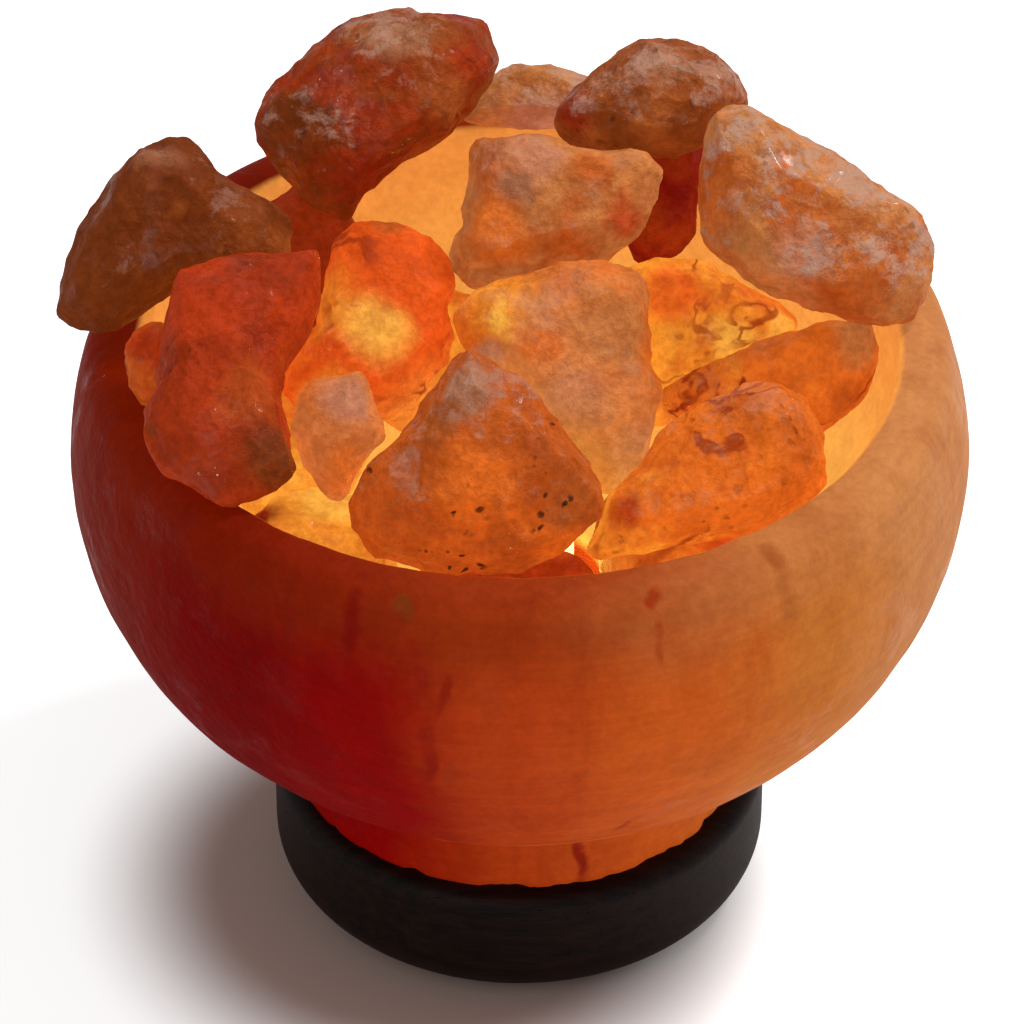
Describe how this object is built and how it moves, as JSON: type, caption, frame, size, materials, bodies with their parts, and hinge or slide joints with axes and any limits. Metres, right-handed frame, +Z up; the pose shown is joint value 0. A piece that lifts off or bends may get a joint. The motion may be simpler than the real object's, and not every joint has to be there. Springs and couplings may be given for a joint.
{
  "type": "salt crystal lamp",
  "caption": "Table lamp: a carved rock-salt bowl on a round wooden base, heaped with loose salt chunks over a small screw-in bulb.",
  "frame": {"origin": "bottom centre of the lamp, on the table, on the axis of the bowl and the base", "axes": "+Z up, -Y towards the viewer of the picture, +X to the right; the cord channel leaves towards +Y"},
  "size_m": [0.2061, 0.203, 0.1962],
  "materials": {
    "bowl_salt": "satin",
    "orange_salt": "satin",
    "red_salt": "satin",
    "brown_salt": "satin",
    "pale_salt": "satin",
    "dark_wood": "satin",
    "felt": "matte",
    "steel": "satin",
    "plug_plastic": "matte",
    "holder_plastic": "satin",
    "holder_ceramic": "matte",
    "brass": "satin",
    "spring_steel": "satin",
    "solder": "satin",
    "black_glass": "gloss",
    "cap_metal": "satin",
    "clear_glass": "gloss",
    "wire": "satin"
  },
  "bodies": {
    "lamp": {"salt_bowl": "bowl_salt", "base_disc": "dark_wood", "base_pads": "felt", "foot_screws": "steel", "foot_plugs": "plug_plastic"},
    "holder": {"holder_sleeve": "holder_plastic", "holder_cap": "holder_plastic", "cord_clamp": "holder_plastic", "clamp_screws": "steel", "holder_core": "holder_ceramic", "thread_shell": "brass", "centre_contact": "brass", "terminal_blocks": "brass", "terminal_screws": "steel"},
    "clip_left": {"spring_clip_left": "spring_steel"},
    "clip_right": {"spring_clip_right": "spring_steel"},
    "bulb_screw": {"bulb_contact": "solder"},
    "bulb": {"bulb_insulator": "black_glass", "bulb_cap": "cap_metal", "bulb_glass": "clear_glass", "glass_stem": "clear_glass", "lead_wires": "wire", "filament": "wire"},
    "heap": {"chunk_bed_front": "orange_salt", "chunk_bed_front_right": "orange_salt", "chunk_bed_right": "orange_salt", "chunk_bed_back_right": "orange_salt", "chunk_bed_back_left": "red_salt", "chunk_bed_left": "orange_salt", "chunk_bed_front_left": "red_salt", "chunk_right_inner": "orange_salt", "chunk_back_right_low": "red_salt", "chunk_back_left_low": "red_salt", "chunk_inner_left_low": "pale_salt", "chunk_right_wedge": "orange_salt", "chunk_centre": "orange_salt", "chunk_inner_left": "orange_salt", "chunk_left_rim": "orange_salt", "chunk_right_front": "orange_salt", "chunk_centre_top": "pale_salt"},
    "back_chunk": {"chunk_back": "pale_salt"},
    "left_front_chunk": {"chunk_left_front": "red_salt"},
    "front_chunk": {"chunk_front": "orange_salt"},
    "right_top_chunk": {"chunk_right_top": "pale_salt"},
    "back_right_chunk": {"chunk_back_right": "brown_salt"},
    "back_left_chunk": {"chunk_back_left": "red_salt"},
    "left_top_chunk": {"chunk_left_top": "brown_salt"}
  },
  "joints": [
    {"name": "holder_pull", "type": "slide", "parent": "lamp", "child": "holder", "axis": [0, 0, -1], "range_m": [0, 0.12]},
    {"name": "clip_left_bend", "type": "hinge", "parent": "holder", "child": "clip_left", "pos_m": [-0.0145, 0, 0.028], "axis": [0, 1, 0], "range_deg": [0, 4.5], "stiffness_Nm_per_rad": 1.2},
    {"name": "clip_right_bend", "type": "hinge", "parent": "holder", "child": "clip_right", "pos_m": [0.0145, 0, 0.028], "axis": [0, -1, 0], "range_deg": [0, 4.5], "stiffness_Nm_per_rad": 1.2},
    {"name": "bulb_rise", "type": "slide", "parent": "holder", "child": "bulb_screw", "axis": [0, 0, 1], "range_m": [0, 0.0099]},
    {"name": "bulb_turn", "type": "hinge", "parent": "bulb_screw", "child": "bulb", "pos_m": [0, 0, 0.06], "axis": [0, 0, 1], "range_deg": [0, 1260]},
    {"name": "heap_lift", "type": "slide", "parent": "lamp", "child": "heap", "axis": [0, 0, 1], "range_m": [0, 0.1]},
    {"name": "back_lift", "type": "slide", "parent": "lamp", "child": "back_chunk", "axis": [0, 0, 1], "range_m": [0, 0.1]},
    {"name": "left_front_lift", "type": "slide", "parent": "heap", "child": "left_front_chunk", "axis": [0, 0, 1], "range_m": [0, 0.1]},
    {"name": "front_lift", "type": "slide", "parent": "heap", "child": "front_chunk", "axis": [0, 0, 1], "range_m": [0, 0.1]},
    {"name": "right_top_lift", "type": "slide", "parent": "heap", "child": "right_top_chunk", "axis": [0, 0, 1], "range_m": [0, 0.1]},
    {"name": "back_right_lift", "type": "slide", "parent": "heap", "child": "back_right_chunk", "axis": [0, 0, 1], "range_m": [0, 0.1]},
    {"name": "back_left_lift", "type": "slide", "parent": "heap", "child": "back_left_chunk", "axis": [0, 0, 1], "range_m": [0, 0.1]},
    {"name": "left_top_lift", "type": "slide", "parent": "heap", "child": "left_top_chunk", "axis": [0, 0, 1], "range_m": [0, 0.1]}
  ],
  "couplings": [
    {"joint": "bulb_rise", "follows": "bulb_turn", "m_per_rad": 0.000449}
  ]
}
